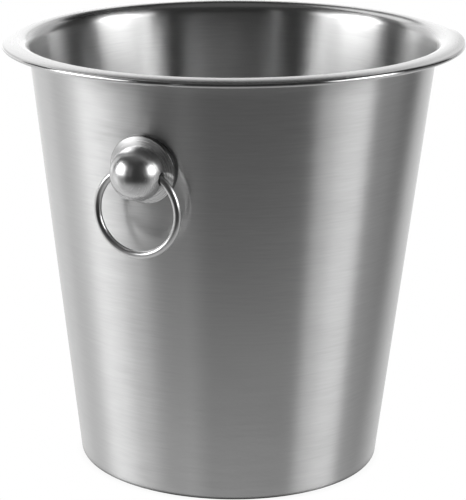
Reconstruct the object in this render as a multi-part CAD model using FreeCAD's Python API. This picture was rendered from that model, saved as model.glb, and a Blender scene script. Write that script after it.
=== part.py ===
# Champagne bucket: a tapered, drawn steel bucket with a flared brim, a curled edge and two ring handles.
# Frame: origin at the centre of the foot, +Z up, handles on the X axis ("right" is +X). Millimetres.
#
# Each handle is a truncated ball on a round rosette, held by one screw from inside the bucket through a
# flat washer and a rubber sealing washer. An open wire ring has its two ends turned inwards as short
# pins, which sit in blind bores in the sides of the ball, so that the ring swings about a level axis.
import FreeCAD, Part
import math
import os

V = FreeCAD.Vector
ORIGIN = V(0, 0, 0)
UP = V(0, 0, 1)

# ---- Bucket: driving dimensions ----
RIM_DIAMETER = 220.0    # over the curled edge
HEIGHT = 209.0          # foot to the crown of the brim
BASE_DIAMETER = 146.4   # where the outside of the wall, drawn on down, meets the table
WALL_ANGLE = 6.63       # degrees that the wall leans out from vertical
SHEET = 0.7             # steel thickness, the same everywhere
FLARE_RADIUS = 6.4      # mouth to brim, on the upper surface
BRIM_RADIUS = 25.0      # the brim's gentle fall towards its edge, on the upper surface
CURL_RADIUS = 1.2       # outside of the curled edge
CURL_TURN = 250.0       # degrees from the crown's level to the end of the curl
CORNER_RADIUS = 3.0     # wall to foot, on the outside
FOOT_WIDTH = 6.0        # flat ring that the bucket stands on
PANEL_RISE = 2.5        # how far the middle of the base is pressed up
STEP_RADIUS = 3.0       # bends of that press, on the sheet's middle line
STEP_ANGLE = 45.0       # slope of that press, in degrees

# ---- Handle: driving dimensions ----
KNOB_HEIGHT = 164.1     # where the knob's axis meets the outside of the wall
BALL_RADIUS = 12.3
BALL_STANDOFF = 7.0     # ball's centre from the wall, along the knob's axis
ROSETTE_RADIUS = 16.0
ROSETTE_HEIGHT = 3.3    # flat seat for the ball, from the wall along the knob's axis
ROSETTE_RIM = 2.0       # where the domed front meets the rosette's side, from the wall
ROSETTE_DOME = 48.0     # radius of the domed front
ROSETTE_EDGE = 0.25     # rounding between front and side
RING_RADIUS = 20.0      # middle line of the wire
WIRE_RADIUS = 1.75
ELBOW_RADIUS = 2.5      # middle line of the bend from ring to pin
HINGE_DROP = 1.2        # swing axis below the ball's centre
HINGE_TO_RING = 16.25   # swing axis to the ring's centre
PIN_CLEARANCE = 0.08    # radial, pin in bore
BORE_END = 5.0          # blind end of each pin bore, from the ball's middle plane
PIN_END = 5.4           # tip of each pin, from the same plane
MOUTH_RADIUS = 2.9      # wider mouth of each bore, which clears the elbow
MOUTH_DEPTH_END = 9.0   # inner end of that mouth, from the same plane

# ---- Fixing: M5 pan head screw and washers ----
SCREW_RADIUS = 2.45     # thread, as a plain shank
SCREW_LENGTH = 12.0     # under the head
SCREW_TIP_CHAMFER = 0.6
HEAD_RADIUS = 4.75
HEAD_HEIGHT = 3.7
HEAD_CROWN = 2.0        # rounding of the head's outer edge
RECESS_REACH = 2.4      # cross recess: centre to the end of an arm
RECESS_WIDTH = 1.1
RECESS_DEPTH = 2.0
KNOB_THREAD_RADIUS = 2.5
KNOB_THREAD_END = 9.6   # blind end of the ball's threaded hole, from the wall
CLEAR_HOLE_RADIUS = 2.75
WASHER_RADIUS = 7.5
WASHER_BORE_RADIUS = 2.65
WASHER_THICKNESS = 1.2
SEAL_RADIUS = 7.0
SEAL_BORE_RADIUS = 2.55
SEAL_THICKNESS = 1.5    # squeezed, at its middle

# ---- Derived ----
wall_angle = math.radians(WALL_ANGLE)
wall_heading = math.pi / 2 - wall_angle
rim_radius = RIM_DIAMETER / 2
base_radius = BASE_DIAMETER / 2
LONG = 400.0            # longer than anything here, for cutting tools


def wall_outside(z):
    """Radius of the wall's outer surface at height z."""
    return base_radius + z * math.tan(wall_angle)


class BentSheet:
    """A bent sheet's section in the (r, z) half-plane, drawn along its middle line by lines and bends."""

    def __init__(self, r, z, thickness):
        self.point = V(r, 0, z)
        self.heading = 0.0
        self.thickness = thickness
        self.edges = {"inner": [], "outer": []}
        self.starts = self.sides()

    def sides(self, point=None, heading=None):
        """The points on the two surfaces: inner on the left of the heading, outer on the right."""
        point = point or self.point
        heading = self.heading if heading is None else heading
        left = V(-math.sin(heading), 0, math.cos(heading)) * (self.thickness / 2)
        return {"inner": point + left, "outer": point - left}

    def line(self, length):
        before = self.sides()
        self.point = self.point + V(math.cos(self.heading), 0, math.sin(self.heading)) * length
        after = self.sides()
        for side in self.edges:
            self.edges[side].append(Part.makeLine(before[side], after[side]))

    def bend(self, radius, turn):
        """Turns left by turn radians, or right if it's negative, on an arc of that middle radius."""
        sign = math.copysign(1.0, turn)
        centre = self.point + V(-math.sin(self.heading), 0, math.cos(self.heading)) * (sign * radius)

        def along(share):
            heading = self.heading + turn * share
            return centre - V(-math.sin(heading), 0, math.cos(heading)) * (sign * radius), heading

        start, middle, end = (self.sides(*along(share)) for share in (0.0, 0.5, 1.0))
        for side in self.edges:
            arc = Part.Arc(start[side], middle[side], end[side])
            self.edges[side].append(arc.toShape())
        self.point, self.heading = along(1.0)

    def revolve(self):
        """The section closed at both ends and turned about Z."""
        ends = self.sides()
        caps = [
            Part.makeLine(self.starts["inner"], self.starts["outer"]),
            Part.makeLine(ends["inner"], ends["outer"]),
        ]
        loop = Part.Wire(Part.__sortEdges__(self.edges["inner"] + self.edges["outer"] + caps))
        return Part.Face(loop).revolve(ORIGIN, UP, 360)


def revolve_outline(points):
    """A solid of revolution about Z from (r, z) corners."""
    corners = [V(r, 0, z) for r, z in points]
    return Part.Face(Part.makePolygon(corners + corners[:1])).revolve(ORIGIN, UP, 360)


def bucket_shell():
    """One drawn sheet: raised base panel, foot, wall, flared brim and curled edge, with two screw holes."""
    half = SHEET / 2
    step_angle = math.radians(STEP_ANGLE)
    slope = (PANEL_RISE - 2 * STEP_RADIUS * (1 - math.cos(step_angle))) / math.sin(step_angle)
    step_run = 2 * STEP_RADIUS * math.sin(step_angle) + slope * math.cos(step_angle)
    corner_r = base_radius + CORNER_RADIUS * (math.tan(wall_angle) - 1 / math.cos(wall_angle))

    sheet = BentSheet(0, PANEL_RISE + half, SHEET)
    sheet.line(corner_r - FOOT_WIDTH - step_run)
    sheet.bend(STEP_RADIUS, -step_angle)
    sheet.line(slope)
    sheet.bend(STEP_RADIUS, step_angle)
    sheet.line(FOOT_WIDTH)
    sheet.bend(CORNER_RADIUS - half, wall_heading)

    wall_top = HEIGHT - FLARE_RADIUS + (FLARE_RADIUS - half) * math.sin(wall_angle)
    sheet.line((wall_top - sheet.point.z) / math.cos(wall_angle))
    sheet.bend(FLARE_RADIUS - half, -wall_heading)

    curl_centre = rim_radius - CURL_RADIUS
    brim_turn = math.asin((curl_centre - sheet.point.x) / (BRIM_RADIUS - CURL_RADIUS))
    sheet.bend(BRIM_RADIUS - half, -brim_turn)
    sheet.bend(CURL_RADIUS - half, brim_turn - math.radians(CURL_TURN))

    shell = sheet.revolve()
    for place in (knob_place(), mirrored(knob_place())):
        hole = Part.makeCylinder(CLEAR_HOLE_RADIUS, 20, V(0, 0, -10))
        hole.Placement = place
        shell = shell.cut(hole)
    return shell


def wall_cone(offset):
    """The solid inside the wall's outer surface, moved inwards by offset."""
    shift = offset / math.cos(wall_angle)
    low, high = 20.0, HEIGHT - FLARE_RADIUS
    return Part.makeCone(
        wall_outside(low) - shift, wall_outside(high) - shift, high - low, V(0, 0, low)
    )


def knob_place():
    """The right-hand knob's own frame: origin on the outer wall, z outwards along its axis, y up the wall."""
    outwards = V(math.cos(wall_angle), 0, -math.sin(wall_angle))
    up_wall = V(math.sin(wall_angle), 0, math.cos(wall_angle))
    turn = FreeCAD.Rotation(V(0, 1, 0), up_wall, outwards, "ZXY")
    return FreeCAD.Placement(V(wall_outside(KNOB_HEIGHT), 0, KNOB_HEIGHT), turn)


def mirrored(place):
    """The same place on the left-hand side, half a turn round the bucket."""
    return FreeCAD.Placement(ORIGIN, FreeCAD.Rotation(UP, 180)).multiply(place)


def in_knob_frame(shape):
    shape.Placement = knob_place().multiply(shape.Placement)
    return shape


ball_centre = knob_place().multVec(V(0, 0, BALL_STANDOFF))
hinge_point = ball_centre - UP * HINGE_DROP


def rosette():
    """Round plate behind the ball: a domed front with a flat seat, and a back that follows the wall."""
    behind = -4.0
    dome_centre = ROSETTE_RIM - math.sqrt(ROSETTE_DOME**2 - ROSETTE_RADIUS**2)
    plate = Part.makeCylinder(ROSETTE_RADIUS, ROSETTE_HEIGHT - behind, V(0, 0, behind))
    plate = plate.common(Part.makeSphere(ROSETTE_DOME, V(0, 0, dome_centre)))
    rim = [
        e for e in plate.Edges
        if abs(e.BoundBox.ZMin - ROSETTE_RIM) < ROSETTE_EDGE and e.BoundBox.ZLength < ROSETTE_EDGE
    ]
    plate = plate.makeFillet(ROSETTE_EDGE, rim)
    plate = plate.cut(Part.makeCylinder(CLEAR_HOLE_RADIUS, LONG, V(0, 0, behind)))
    return in_knob_frame(plate).cut(wall_cone(0))


def knob_ball():
    """Ball with a flat back, a blind threaded hole from behind and a stepped blind bore in each side."""
    ball = Part.makeSphere(BALL_RADIUS, V(0, 0, BALL_STANDOFF))
    behind = Part.makeBox(LONG, LONG, LONG, V(-LONG / 2, -LONG / 2, ROSETTE_HEIGHT - LONG))
    thread = Part.makeCylinder(KNOB_THREAD_RADIUS, KNOB_THREAD_END)
    ball = in_knob_frame(ball.cut(behind).cut(thread))
    for side in (-1, 1):
        outwards = V(0, side, 0)
        bore = Part.makeCylinder(
            WIRE_RADIUS + PIN_CLEARANCE, BALL_RADIUS, hinge_point + outwards * BORE_END, outwards
        )
        mouth = Part.makeCylinder(
            MOUTH_RADIUS, BALL_RADIUS, hinge_point + outwards * MOUTH_DEPTH_END, outwards
        )
        ball = ball.cut(bore).cut(mouth)
    return ball


def ring_handle():
    """Open wire ring hanging straight down, its ends bent inwards into pins on the swing axis."""
    centre = hinge_point - UP * HINGE_TO_RING

    def at(y, z):
        return centre + V(0, y, z)

    # The elbow's centre lies ELBOW_RADIUS below the swing axis, and its arc touches the ring from inside.
    elbow_z = HINGE_TO_RING - ELBOW_RADIUS
    elbow_y = math.sqrt((RING_RADIUS - ELBOW_RADIUS) ** 2 - elbow_z**2)
    lean = math.atan2(elbow_y, elbow_z)

    def on_elbow(side, angle):
        return at(side * (elbow_y + ELBOW_RADIUS * math.sin(angle)), elbow_z + ELBOW_RADIUS * math.cos(angle))

    def on_ring(side):
        return at(side * RING_RADIUS * math.sin(lean), RING_RADIUS * math.cos(lean))

    def pin(side):
        return Part.makeLine(at(side * PIN_END, HINGE_TO_RING), at(side * elbow_y, HINGE_TO_RING))

    def elbow(side):
        return Part.Arc(on_elbow(side, 0), on_elbow(side, lean / 2), on_elbow(side, lean)).toShape()

    hoop = Part.Arc(on_ring(-1), at(0, -RING_RADIUS), on_ring(1)).toShape()
    path = Part.Wire(Part.__sortEdges__([pin(-1), elbow(-1), hoop, elbow(1), pin(1)]))
    section = Part.Wire(Part.makeCircle(WIRE_RADIUS, at(-PIN_END, HINGE_TO_RING), V(0, 1, 0)))
    return path.makePipeShell([section], True, False)


def sealing_washer():
    """Rubber washer inside the bucket, its wall side shaped to the wall by the screw's pull."""
    back = -(SHEET + SEAL_THICKNESS)
    disc = Part.makeCylinder(SEAL_RADIUS, -back, V(0, 0, back))
    disc = disc.cut(Part.makeCylinder(SEAL_BORE_RADIUS, LONG, V(0, 0, -LONG / 2)))
    return in_knob_frame(disc).common(wall_cone(SHEET))


def flat_washer():
    back = -(SHEET + SEAL_THICKNESS + WASHER_THICKNESS)
    disc = Part.makeCylinder(WASHER_RADIUS, WASHER_THICKNESS, V(0, 0, back))
    disc = disc.cut(Part.makeCylinder(WASHER_BORE_RADIUS, LONG, V(0, 0, -LONG / 2)))
    return in_knob_frame(disc)


def knob_screw():
    """Pan head screw with a cross recess, its head inside the bucket."""
    seat = -(SHEET + SEAL_THICKNESS + WASHER_THICKNESS)
    top = seat - HEAD_HEIGHT
    tip = seat + SCREW_LENGTH
    body = revolve_outline([
        (0, top),
        (HEAD_RADIUS, top),
        (HEAD_RADIUS, seat),
        (SCREW_RADIUS, seat),
        (SCREW_RADIUS, tip - SCREW_TIP_CHAMFER),
        (SCREW_RADIUS - SCREW_TIP_CHAMFER, tip),
        (0, tip),
    ])
    rim = [e for e in body.Edges if e.BoundBox.ZMax < top + 0.1 and e.BoundBox.XLength > HEAD_RADIUS]
    body = body.makeFillet(HEAD_CROWN, rim)
    for turn in (0, 90):
        arm = Part.makeBox(
            2 * RECESS_REACH, RECESS_WIDTH, 2 * RECESS_DEPTH,
            V(-RECESS_REACH, -RECESS_WIDTH / 2, top - RECESS_DEPTH),
        )
        arm.rotate(ORIGIN, UP, turn)
        body = body.cut(arm)
    return in_knob_frame(body)


HANDLE_PARTS = {
    "rosette": rosette,
    "knob_ball": knob_ball,
    "ring_handle": ring_handle,
    "sealing_washer": sealing_washer,
    "flat_washer": flat_washer,
    "knob_screw": knob_screw,
}


def export(name, shape):
    shape.exportStep(f"parts/{name}.step")
    print(f"{name}: {len(shape.Solids)} solid, valid {shape.isValid()}, {shape.Volume:.1f} mm3")


def main():
    os.makedirs("parts", exist_ok=True)
    export("bucket_shell", bucket_shell())
    for name, build in HANDLE_PARTS.items():
        right = build()
        left = right.copy()
        left.rotate(ORIGIN, UP, 180)
        export(f"{name}_right", right)
        export(f"{name}_left", left)


main()
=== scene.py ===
# Looks for the champagne bucket: brushed steel, polished rings, a pale floor and soft studio light.
# Metres, in the row frame: +Z up, foot at z = 0, knobs on the X axis.
import math
import bpy
from mathutils import Matrix, Vector


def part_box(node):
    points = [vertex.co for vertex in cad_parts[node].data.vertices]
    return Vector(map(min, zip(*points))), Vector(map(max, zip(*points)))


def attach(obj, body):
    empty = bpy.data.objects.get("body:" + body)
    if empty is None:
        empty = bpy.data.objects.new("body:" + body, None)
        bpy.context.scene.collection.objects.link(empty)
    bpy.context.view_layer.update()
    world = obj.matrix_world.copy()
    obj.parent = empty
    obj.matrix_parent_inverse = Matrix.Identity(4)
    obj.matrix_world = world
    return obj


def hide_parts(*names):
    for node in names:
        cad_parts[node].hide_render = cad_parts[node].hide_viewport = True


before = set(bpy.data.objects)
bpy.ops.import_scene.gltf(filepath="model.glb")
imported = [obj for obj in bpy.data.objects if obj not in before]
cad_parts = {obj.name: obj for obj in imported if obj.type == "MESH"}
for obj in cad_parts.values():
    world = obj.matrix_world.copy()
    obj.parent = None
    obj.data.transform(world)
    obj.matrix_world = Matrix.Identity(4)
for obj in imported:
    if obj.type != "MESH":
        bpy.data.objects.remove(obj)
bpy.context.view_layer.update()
shell_low, shell_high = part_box("bucket_shell")
MM = 0.001
HEIGHT = shell_high.z
RIM_RADIUS = shell_high.x
SIDES = ("left", "right")

# ---- Shell section, as the CAD has it ----
WALL_ANGLE = math.radians(6.63)
FOOT_EDGE = RIM_RADIUS - 36.8 * MM      # where the wall's outside, drawn on down, meets the table
SHEET = 0.7 * MM
FLARE_RADIUS = 6.4 * MM
BRIM_RADIUS = 25.0 * MM
CURL_RADIUS = 1.2 * MM
CURL_TURN = math.radians(250)
CORNER_RADIUS = 3.0 * MM
FOOT_WIDTH = 6.0 * MM
PANEL_RISE = 2.5 * MM
STEP_RADIUS = 3.0 * MM
STEP_ANGLE = math.radians(45)
SCREW_HOLE_RADIUS = 2.75 * MM
DRILL_NEAR = 5.0 * MM                   # the drill's ends, inwards from the ball's centre
DRILL_FAR = 12.0 * MM
DRILL_AROUND = 48                       # lathe steps round the drill and round the bucket
AROUND = 256
ROW_HEIGHT = 5.0 * MM                   # longest step along a straight stretch
BEND_STEP = math.radians(9)
ON_AXIS = 1e-9                          # a smaller radius than this is a point on the axis

# ---- Steels: tone, lobes of gloss as (roughness, anisotropy, share), grooves per metre, relief ----
SHELL_STEEL = (0.61, ((0.205, 0.87, 1.0), (0.365, 1.0, 0.5)), 2200.0, 0.01)
BALL_STEEL = (0.62, ((0.24, 0.0, 1.0), (0.4, 0.0, 0.25)), 9000.0, 0.003)
ROSETTE_STEEL = (0.62, ((0.26, 0.2, 1.0), (0.42, 0.2, 0.4)), 4000.0, 0.01)
RING_STEEL = (0.64, ((0.2, 0.3, 1.0), (0.36, 0.3, 0.35)), 5000.0, 0.01)
SCREW_STEEL = (0.5, ((0.3, 0.4, 1.0),), 5000.0, 0.05)
WASHER_STEEL = (0.52, ((0.35, 0.6, 1.0),), 5000.0, 0.05)
ROUND_THE_AXIS = 0.25                   # turns the gloss's stretch from along the grooves to across them
# Layers of grain: share of the grooves' number, how much slower each varies along them, detail, weight.
GRAIN_LAYERS = (
    (1.0, 0.01, 2.0, 0.25),             # fine lines
    (0.4, 0.08, 2.0, 0.55),             # hairlines, shorter
    (0.08, 0.01, 1.0, 0.2),             # broad faint bands
)
GRAIN_ROUGHNESS = 0.6
GRAIN_RANGE = (0.35, 0.65)              # the part of the grain that is spread over the full change
TONE_SPREAD = 0.06
ROUGH_SPREAD = 0.15
CLOUDS = 18.0                           # patches of slightly different polish, per metre
CLOUD_SPREAD = 0.06
NOISE_DETAIL = 2.0
NOISE_RANGE = (0.3, 0.7)                # likewise, for the clouds and the rubber
BUMP_HEIGHT = 0.1 * MM
POLISH = 0.7                            # the brim's roughness and haze, as a share of the wall's
POLISH_BLEND = 2.0 * MM
POLISH_DEPTH = 3.5 * MM                 # it starts this far below the top
ROSETTE_SHADE_RADIUS = 15.7 * MM                # painted shade: beyond this radius a rosette's side, in the corner with the wall, is painted darker
SIDE_SHADE_BLEND = 0.2 * MM
SIDE_SHADE_TONE = 0.3

# ---- Rubber ----
RUBBER_TONE = 0.03
BLOOM = 300.0                           # grey patches per metre, and how they darken or lighten the tone
BLOOM_TONES = (0.8, 1.25)
PORES = 4000.0                          # per metre
PORE_DETAIL = 3.0
PORE_ROUGHNESS = (0.55, 0.75)
PORE_RELIEF = 0.4
PORE_DEPTH = 0.05 * MM

# ---- Studio: (azimuth, elevation, half width, half height, edge, strength) of each light, degrees ----
# Azimuth 0 is behind the camera, 90 to its right and 180 behind the bucket.
PANELS = {
    "left softbox": (-74, 18, 21, 16, 5, 2.5),
    "left softbox's core": (-84, 20, 15, 14, 5, 3.6),
    "left spill": (-80, -12, 26, 15, 14, 0.62),
    "right softbox": (68, 18, 18, 14, 3, 2.7),
    "right softbox's core": (76, 20, 12, 15, 5, 2.5),
    "right spill": (70, -12, 19, 15, 5, 0.55),
    "right spill's far side": (88, -14, 30, 17, 12, 0.27),
    "backdrop, left": (-156, 11, 33, 17, 3, 0.85),
    "backdrop, left top": (-143, 45, 15, 16, 7, 1.2),
    "backdrop, middle": (180, 10, 20, 20, 12, 0.4),
    "backdrop, right": (150, 16, 19, 20, 3, 0.6),
    "low in front": (-40, -38, 20, 13, 10, 0.2),
    "slit in front": (-27, 20, 2, 18, 1.5, 0.35),
    "overhead": (0, 90, 200, 25, 10, 0.1),
}
HAZE = 0.03                             # light from everywhere else
TABLE_AZIMUTH = -158                    # the pale table top reaches furthest up in this direction
TABLE_SPREAD = (45, 90)                 # and falls to its front reach between these angles from it
TABLE_BACK = (4.5, 0.8)                 # elevation that it reaches, and its glow
TABLE_FRONT = (-23.5, 0.58)
TABLE_EDGE = (-14, 4)                   # its soft edge, from that elevation

# ---- Floor ----
FLOOR_RADIUS = 3.0
FLOOR_THICKNESS = 2.0 * MM
FLOOR_GAP = 0.05 * MM
FLOOR_FALL = 0.67                       # share of its reflected glow that is left, far towards the camera
FALL_FROM = 0.08
FALL_TO = 0.4
CONTACT_SHADE = 0.93                    # the shadow at the foot, between these shares of the foot's edge
CONTACT_FROM = 0.96
CONTACT_TO = 1.05

# ---- Camera ----
CAMERA_AZIMUTH = math.radians(-65.4)    # 0 looks along +Y
CAMERA_ELEVATION = math.radians(15.81)
CAMERA_DISTANCE = 1.0607
CAMERA_YAW = -0.0873                    # aim off the bucket's middle: positive turns it to the right,
CAMERA_PITCH = -0.0224                  # up,
CAMERA_ROLL = -0.0075                   # and clockwise
SENSOR = 36.0
LENS = 154.78
SHIFT_X = 0.3841                        # the picture is cropped off the lens's centre
SHIFT_Y = 0.0863
CLIP_START = 0.01
CLIP_END = 100.0
HERE = 0.001                            # how close to its own place the camera has to be for that shift


class Section:
    """One drawn sheet in the (r, z) half-plane: a middle line of lines and bends, and its two surfaces."""

    def __init__(self, r, z):
        self.r, self.z, self.heading = r, z, 0.0
        self.inner, self.outer = [], []
        self.mark()

    def mark(self):
        left_r, left_z = -math.sin(self.heading), math.cos(self.heading)
        half = SHEET / 2
        self.inner.append((self.r + half * left_r, self.z + half * left_z))
        self.outer.append((self.r - half * left_r, self.z - half * left_z))

    def line(self, length):
        steps = max(1, math.ceil(length / ROW_HEIGHT))
        for _ in range(steps):
            self.r += math.cos(self.heading) * length / steps
            self.z += math.sin(self.heading) * length / steps
            self.mark()

    def bend(self, radius, turn):
        """Turns left by turn, or right if it is negative, on an arc of that middle radius."""
        steps = max(2, math.ceil(abs(turn) / BEND_STEP))
        chord = 2 * radius * math.sin(abs(turn) / steps / 2)
        for _ in range(steps):
            self.heading += turn / steps / 2
            self.r += math.cos(self.heading) * chord
            self.z += math.sin(self.heading) * chord
            self.heading += turn / steps / 2
            self.mark()


def shell_section():
    """The closed outline of the shell, from the axis along the inside to the curl and back outside."""
    half = SHEET / 2
    wall_heading = math.pi / 2 - WALL_ANGLE
    corner_r = FOOT_EDGE + CORNER_RADIUS * (math.tan(WALL_ANGLE) - 1 / math.cos(WALL_ANGLE))
    slope = (PANEL_RISE - 2 * STEP_RADIUS * (1 - math.cos(STEP_ANGLE))) / math.sin(STEP_ANGLE)
    step_run = 2 * STEP_RADIUS * math.sin(STEP_ANGLE) + slope * math.cos(STEP_ANGLE)
    section = Section(0, PANEL_RISE + half)
    section.line(corner_r - FOOT_WIDTH - step_run)
    section.bend(STEP_RADIUS, -STEP_ANGLE)
    section.line(slope)
    section.bend(STEP_RADIUS, STEP_ANGLE)
    section.line(FOOT_WIDTH)
    section.bend(CORNER_RADIUS - half, wall_heading)
    wall_top = HEIGHT - FLARE_RADIUS + (FLARE_RADIUS - half) * math.sin(WALL_ANGLE)
    section.line((wall_top - section.z) / math.cos(WALL_ANGLE))
    section.bend(FLARE_RADIUS - half, -wall_heading)
    brim_turn = math.asin((RIM_RADIUS - CURL_RADIUS - section.r) / (BRIM_RADIUS - CURL_RADIUS))
    section.bend(BRIM_RADIUS - half, -brim_turn)
    section.bend(CURL_RADIUS - half, brim_turn - CURL_TURN)
    return section.inner + section.outer[::-1]


def lathe(name, outline, around=AROUND, smooth=True):
    """A closed mesh: the (r, z) outline, which starts and ends on the axis, turned about Z."""
    vertices, rings = [], []
    for r, z in outline:
        if r < ON_AXIS:
            rings.append([len(vertices)] * around)
            vertices.append((0, 0, z))
            continue
        rings.append(range(len(vertices), len(vertices) + around))
        angles = (2 * math.pi * i / around for i in range(around))
        vertices += [(r * math.cos(a), r * math.sin(a), z) for a in angles]
    faces = []
    for lower, upper in zip(rings, rings[1:]):
        for i in range(around):
            j = (i + 1) % around
            corners = dict.fromkeys((lower[i], upper[i], upper[j], lower[j]))
            faces.append(tuple(corners))
    mesh = bpy.data.meshes.new(name)
    mesh.from_pydata(vertices, [], faces)
    mesh.validate()
    for face in mesh.polygons:
        face.use_smooth = smooth
    piece = bpy.data.objects.new(name, mesh)
    bpy.context.scene.collection.objects.link(piece)
    return piece


def knob_axis(side):
    """The centre of that side's ball, and the outward direction of the screw that holds it."""
    low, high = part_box(f"knob_ball_{side}")
    sign = 1 if high.x > 0 else -1
    radius = (high.z - low.z) / 2
    outermost = max(abs(low.x), abs(high.x))
    centre = Vector((sign * (outermost - radius), 0, (low.z + high.z) / 2))
    return centre, Vector((sign * math.cos(WALL_ANGLE), 0, -math.sin(WALL_ANGLE)))


def drill(piece, centre, axis):
    """Cuts the screw's clearance hole through the wall, square to it, behind the ball at centre."""
    near, far = -DRILL_NEAR, -DRILL_FAR
    outline = [(0, far), (SCREW_HOLE_RADIUS, far), (SCREW_HOLE_RADIUS, near), (0, near)]
    cutter = lathe("drill", outline, DRILL_AROUND, smooth=False)
    cutter.matrix_world = Matrix.Translation(centre) @ axis.to_track_quat("Z", "Y").to_matrix().to_4x4()
    cut = piece.modifiers.new("screw_hole", "BOOLEAN")
    cut.operation = "DIFFERENCE"
    cut.solver = "EXACT"
    cut.object = cutter
    solid = piece.data
    piece.data = bpy.data.meshes.new_from_object(piece.evaluated_get(bpy.context.evaluated_depsgraph_get()))
    piece.modifiers.clear()
    bpy.data.meshes.remove(solid)
    piece.data.name = piece.name
    bpy.data.objects.remove(cutter)


class Nodes:
    """A short way to write a node tree: each call adds one node and links its inputs."""

    def __init__(self, tree):
        tree.nodes.clear()
        self.tree = tree

    def feed(self, socket, value):
        if isinstance(value, bpy.types.NodeSocket):
            self.tree.links.new(value, socket)
        else:
            socket.default_value = value

    def add(self, kind, inputs=None, **settings):
        node = self.tree.nodes.new(kind)
        for name, value in settings.items():
            setattr(node, name, value)
        for name, value in (inputs or {}).items():
            self.feed(node.inputs[name], value)
        return node

    def math(self, operation, *values):
        return self.add("ShaderNodeMath", dict(enumerate(values)), operation=operation).outputs[0]

    def vector(self, operation, *values):
        node = self.add("ShaderNodeVectorMath", dict(enumerate(values)), operation=operation)
        return node.outputs["Vector"]

    def scale(self, vector, factor):
        node = self.add("ShaderNodeVectorMath", {0: vector, "Scale": factor}, operation="SCALE")
        return node.outputs["Vector"]

    def dot(self, first, second):
        node = self.add("ShaderNodeVectorMath", {0: first, 1: second}, operation="DOT_PRODUCT")
        return node.outputs["Value"]

    def length(self, vector):
        return self.add("ShaderNodeVectorMath", {0: vector}, operation="LENGTH").outputs["Value"]

    def noise(self, vector, scale, detail=NOISE_DETAIL):
        inputs = {"Vector": vector, "Scale": scale, "Detail": detail}
        return self.add("ShaderNodeTexNoise", inputs).outputs["Fac"]

    def remap(self, value, low, high, to_low, to_high, smooth=False):
        kind = "SMOOTHSTEP" if smooth else "LINEAR"
        inputs = {"Value": value, "From Min": low, "From Max": high, "To Min": to_low, "To Max": to_high}
        return self.add("ShaderNodeMapRange", inputs, interpolation_type=kind).outputs["Result"]

    def spread(self, value, limits, amount):
        """1 minus to 1 plus amount, as value crosses limits."""
        return self.remap(value, *limits, 1 - amount, 1 + amount)


def new_material(name):
    material = bpy.data.materials.new(name)
    material.use_nodes = True
    return material, Nodes(material.node_tree)


def grain(n, offset, height, radius, axis, grooves):
    """Noise drawn out along grooves that circle the axis, in layers from fine to broad."""
    mixed = 0.0
    for share, stretch, detail, weight in GRAIN_LAYERS:
        across = grooves * share
        slow = n.scale(offset, across * stretch)
        fast = n.scale(axis, n.math("MULTIPLY", height, across))
        noise = n.add("ShaderNodeTexNoise", {
            "Vector": n.vector("ADD", slow, fast),
            "W": n.math("MULTIPLY", radius, across),
            "Scale": 1.0,
            "Detail": detail,
            "Roughness": GRAIN_ROUGHNESS,
        }, noise_dimensions="4D").outputs["Fac"]
        mixed = n.math("ADD", mixed, n.math("MULTIPLY", noise, weight))
    return mixed


def turned_steel(name, steel, centre=(0, 0, 0), axis=(0, 0, 1), polished_above=None, painted_shade_from=None):
    """Steel with fine grooves that circle an axis through centre.

    Above the height polished_above it is smoother, and beyond the radius given for the painted shade its
    colour is darkened, as painted shade.
    """
    tone, gloss, grooves, relief = steel
    material, n = new_material(name)
    offset = n.vector("SUBTRACT", n.add("ShaderNodeTexCoord").outputs["Object"], centre)
    height = n.dot(offset, axis)
    radius = n.length(n.vector("SUBTRACT", offset, n.scale(axis, height)))
    tangent = n.add("ShaderNodeVectorTransform", {
        "Vector": n.vector("CROSS_PRODUCT", axis, offset),
    }, vector_type="VECTOR", convert_from="OBJECT", convert_to="WORLD").outputs[0]
    lines = grain(n, offset, height, radius, axis, grooves)
    shade = n.spread(lines, GRAIN_RANGE, TONE_SPREAD)
    clouds = n.noise(offset, CLOUDS)
    wear = n.math(
        "MULTIPLY",
        n.spread(lines, GRAIN_RANGE, ROUGH_SPREAD),
        n.spread(clouds, NOISE_RANGE, CLOUD_SPREAD),
    )
    haze_left = 1.0
    if polished_above is not None:
        haze_left = n.remap(height, polished_above, polished_above + POLISH_BLEND, 1.0, POLISH, smooth=True)
        wear = n.math("MULTIPLY", wear, haze_left)
    if painted_shade_from is not None:
        # painted shade: the colour is darkened beyond this radius, standing in for the shadow in the corner
        # where the part meets the wall
        painted_shade = n.remap(radius, painted_shade_from, painted_shade_from + SIDE_SHADE_BLEND, 1.0, SIDE_SHADE_TONE, smooth=True)
        shade = n.math("MULTIPLY", shade, painted_shade)
    bumps = n.add("ShaderNodeBump", {"Strength": relief, "Distance": BUMP_HEIGHT, "Height": lines}).outputs[0]
    surface = None
    for roughness, anisotropy, share in gloss:
        lobe = n.add("ShaderNodeBsdfPrincipled", {
            "Base Color": n.scale((tone, tone, tone), shade),
            "Metallic": 1.0,
            "Roughness": n.math("MULTIPLY", wear, roughness),
            "Anisotropic": anisotropy,
            "Anisotropic Rotation": ROUND_THE_AXIS,
            "Tangent": tangent,
            "Normal": bumps,
        }).outputs[0]
        if surface is None:
            surface = lobe
        else:
            share = n.math("MULTIPLY", haze_left, share)
            surface = n.add("ShaderNodeMixShader", {0: share, 1: surface, 2: lobe}).outputs[0]
    n.add("ShaderNodeOutputMaterial", {"Surface": surface})
    return material


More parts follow.
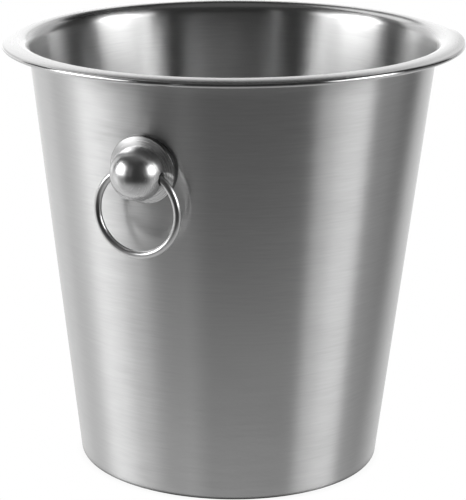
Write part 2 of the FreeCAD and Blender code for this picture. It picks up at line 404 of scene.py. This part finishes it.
def rubber(name):
    """Matt black rubber with fine pores and a patchy grey bloom."""
    material, n = new_material(name)
    place = n.add("ShaderNodeTexCoord").outputs["Object"]
    pores = n.noise(place, PORES, PORE_DETAIL)
    bloom = n.noise(place, BLOOM)
    tone = (RUBBER_TONE, RUBBER_TONE, RUBBER_TONE)
    bumps = n.add("ShaderNodeBump", {"Strength": PORE_RELIEF, "Distance": PORE_DEPTH, "Height": pores})
    surface = n.add("ShaderNodeBsdfPrincipled", {
        "Base Color": n.scale(tone, n.remap(bloom, *NOISE_RANGE, *BLOOM_TONES)),
        "Roughness": n.remap(pores, *NOISE_RANGE, *PORE_ROUGHNESS),
        "Normal": bumps.outputs[0],
    }).outputs[0]
    n.add("ShaderNodeOutputMaterial", {"Surface": surface})
    return material


def make_shell():
    """The turned sheet with a screw hole behind each knob, in place of the CAD's shell."""
    shell = lathe("bucket_shell_turned", shell_section())
    for side in SIDES:
        drill(shell, *knob_axis(side))
    steel = turned_steel("shell_steel_brushed", SHELL_STEEL, polished_above=HEIGHT - POLISH_DEPTH)
    shell.data.materials.append(steel)
    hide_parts("bucket_shell")
    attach(shell, "bucket")


def paint(node, material):
    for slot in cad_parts[node].material_slots:
        slot.material = material


def paint_knob(side):
    """Ball, rosette, screw and washers are all turned about the knob's own axis."""
    centre, axis = knob_axis(side)
    on_knob = {"centre": centre, "axis": axis}
    paint(f"knob_ball_{side}", turned_steel(f"ball_steel_{side}", BALL_STEEL, **on_knob))
    paint(f"knob_screw_{side}", turned_steel(f"screw_steel_{side}", SCREW_STEEL, **on_knob))
    paint(f"flat_washer_{side}", turned_steel(f"washer_steel_{side}", WASHER_STEEL, **on_knob))
    # its side is painted darker, a painted shade in the corner with the wall
    rosette = turned_steel(f"rosette_steel_{side}", ROSETTE_STEEL, painted_shade_from=ROSETTE_SHADE_RADIUS, **on_knob)
    paint(f"rosette_{side}", rosette)
    paint(f"sealing_washer_{side}", rubber(f"seal_rubber_{side}"))


def paint_ring(side):
    """The ring's wire is drawn round the ring's own centre."""
    low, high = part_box(f"ring_handle_{side}")
    centre = ((low.x + high.x) / 2, 0, low.z + (high.y - low.y) / 2)
    steel = turned_steel(f"ring_steel_{side}", RING_STEEL, centre=centre, axis=(1, 0, 0))
    paint(f"ring_handle_{side}", steel)


def make_camera():
    """The camera, with a lens shift that holds only while it stands at this place."""
    a, e = CAMERA_AZIMUTH, CAMERA_ELEVATION
    back = Vector((math.sin(a) * math.cos(e), -math.cos(a) * math.cos(e), math.sin(e)))
    right = Vector((math.cos(a), math.sin(a), 0))
    up = back.cross(right)
    level = Matrix((right, up, back)).transposed()
    aim = (
        Matrix.Rotation(-CAMERA_YAW, 3, "Y")
        @ Matrix.Rotation(CAMERA_PITCH, 3, "X")
        @ Matrix.Rotation(-CAMERA_ROLL, 3, "Z")
    )
    data = bpy.data.cameras.new("camera")
    data.sensor_width = SENSOR
    data.lens = LENS
    data.clip_start = CLIP_START
    data.clip_end = CLIP_END
    camera = bpy.data.objects.new("camera", data)
    bpy.context.scene.collection.objects.link(camera)
    place = Vector((0, 0, HEIGHT / 2)) + back * CAMERA_DISTANCE
    camera.matrix_world = Matrix.Translation(place) @ (level @ aim).to_4x4()
    for channel, shift in (("shift_x", SHIFT_X), ("shift_y", SHIFT_Y)):
        driver = data.driver_add(channel).driver
        driver.type = "SCRIPTED"
        for axis in "xyz":
            variable = driver.variables.new()
            variable.name = axis
            variable.type = "TRANSFORMS"
            variable.targets[0].id = camera
            variable.targets[0].transform_type = f"LOC_{axis.upper()}"
        away = " + ".join(f"abs({axis} - {value:.5f})" for axis, value in zip("xyz", place))
        driver.expression = f"{shift} if {away} < {HERE} else 0"
    bpy.context.scene.camera = camera


def studio(n, direction):
    """Light that arrives along a direction: soft panels round the bucket and a pale table top below."""
    x, y, z = (n.dot(direction, axis) for axis in ((1, 0, 0), (0, 1, 0), (0, 0, 1)))
    elevation = n.math("ARCSINE", n.math("MINIMUM", n.math("MAXIMUM", z, -1.0), 1.0))
    azimuth = n.math("SUBTRACT", n.math("ARCTAN2", x, n.math("MULTIPLY", y, -1.0)), CAMERA_AZIMUTH)

    def aside(place):
        """Angle round from the azimuth place, either way."""
        turn = n.math("SUBTRACT", azimuth, math.radians(place))
        return n.math("ABSOLUTE", n.math("WRAP", turn, -math.pi, math.pi))

    def inside(value, low, high):
        """1 below low degrees and 0 above high, with a smooth change between."""
        return n.remap(value, math.radians(low), math.radians(high), 1.0, 0.0, smooth=True)

    total = HAZE
    for place, height, half_width, half_height, edge, strength in PANELS.values():
        above = n.math("ABSOLUTE", n.math("SUBTRACT", elevation, math.radians(height)))
        across = inside(aside(place), half_width - edge, half_width + edge)
        upright = inside(above, half_height - edge, half_height + edge)
        share = n.math("MULTIPLY", across, upright)
        total = n.math("ADD", total, n.math("MULTIPLY", share, strength))
    back = inside(aside(TABLE_AZIMUTH), *TABLE_SPREAD)
    (back_reach, back_glow), (front_reach, front_glow) = TABLE_BACK, TABLE_FRONT
    glow = n.remap(back, 0.0, 1.0, front_glow, back_glow)
    reach = n.remap(back, 0.0, 1.0, math.radians(front_reach), math.radians(back_reach))
    below = inside(n.math("SUBTRACT", elevation, reach), *TABLE_EDGE)
    return n.math("ADD", total, n.math("MULTIPLY", below, glow))


def make_world():
    """The studio's light for the object, and plain white for the camera."""
    world = bpy.data.worlds.new("studio")
    bpy.context.scene.world = world
    world.use_nodes = True
    n = Nodes(world.node_tree)
    white = (1, 1, 1, 1)
    glow = studio(n, n.add("ShaderNodeTexCoord").outputs["Generated"])
    seen = n.add("ShaderNodeLightPath").outputs["Is Camera Ray"]
    backdrop = n.add("ShaderNodeBackground", {"Color": white, "Strength": 1.0}).outputs[0]
    lights = n.add("ShaderNodeBackground", {"Color": white, "Strength": glow}).outputs[0]
    mixed = n.add("ShaderNodeMixShader", {0: seen, 1: lights, 2: backdrop}).outputs[0]
    n.add("ShaderNodeOutputWorld", {"Surface": mixed})


def make_floor():
    """A pale round floor, seen white, with a soft contact shadow round the foot."""
    top, bottom = -FLOOR_GAP, -FLOOR_THICKNESS
    floor = lathe("floor", [(0, bottom), (FLOOR_RADIUS, bottom), (FLOOR_RADIUS, top), (0, top)])
    material, n = new_material("floor_white")
    white = (1, 1, 1)
    place = n.add("ShaderNodeTexCoord").outputs["Object"]
    radius = n.length(place)
    contact = n.remap(radius, FOOT_EDGE * CONTACT_FROM, FOOT_EDGE * CONTACT_TO, 0.0, 1.0, smooth=True)
    shade = n.remap(contact, 0.0, 1.0, CONTACT_SHADE, 1.0)
    seen = n.add("ShaderNodeEmission", {"Color": n.scale(white, shade), "Strength": 1.0}).outputs[0]
    forward = n.dot(place, (math.sin(CAMERA_AZIMUTH), -math.cos(CAMERA_AZIMUTH), 0))
    fall = n.remap(forward, FALL_FROM, FALL_TO, 1.0, FLOOR_FALL, smooth=True)
    through = n.scale(white, n.math("MULTIPLY", contact, fall))
    passed = n.add("ShaderNodeBsdfTransparent", {"Color": through}).outputs[0]
    camera_ray = n.add("ShaderNodeLightPath").outputs["Is Camera Ray"]
    mixed = n.add("ShaderNodeMixShader", {0: camera_ray, 1: passed, 2: seen}).outputs[0]
    n.add("ShaderNodeOutputMaterial", {"Surface": mixed})
    floor.data.materials.append(material)


make_shell()
for side in SIDES:
    paint_knob(side)
    paint_ring(side)
make_camera()
make_world()
make_floor()
bpy.context.scene.view_settings.view_transform = "Standard"
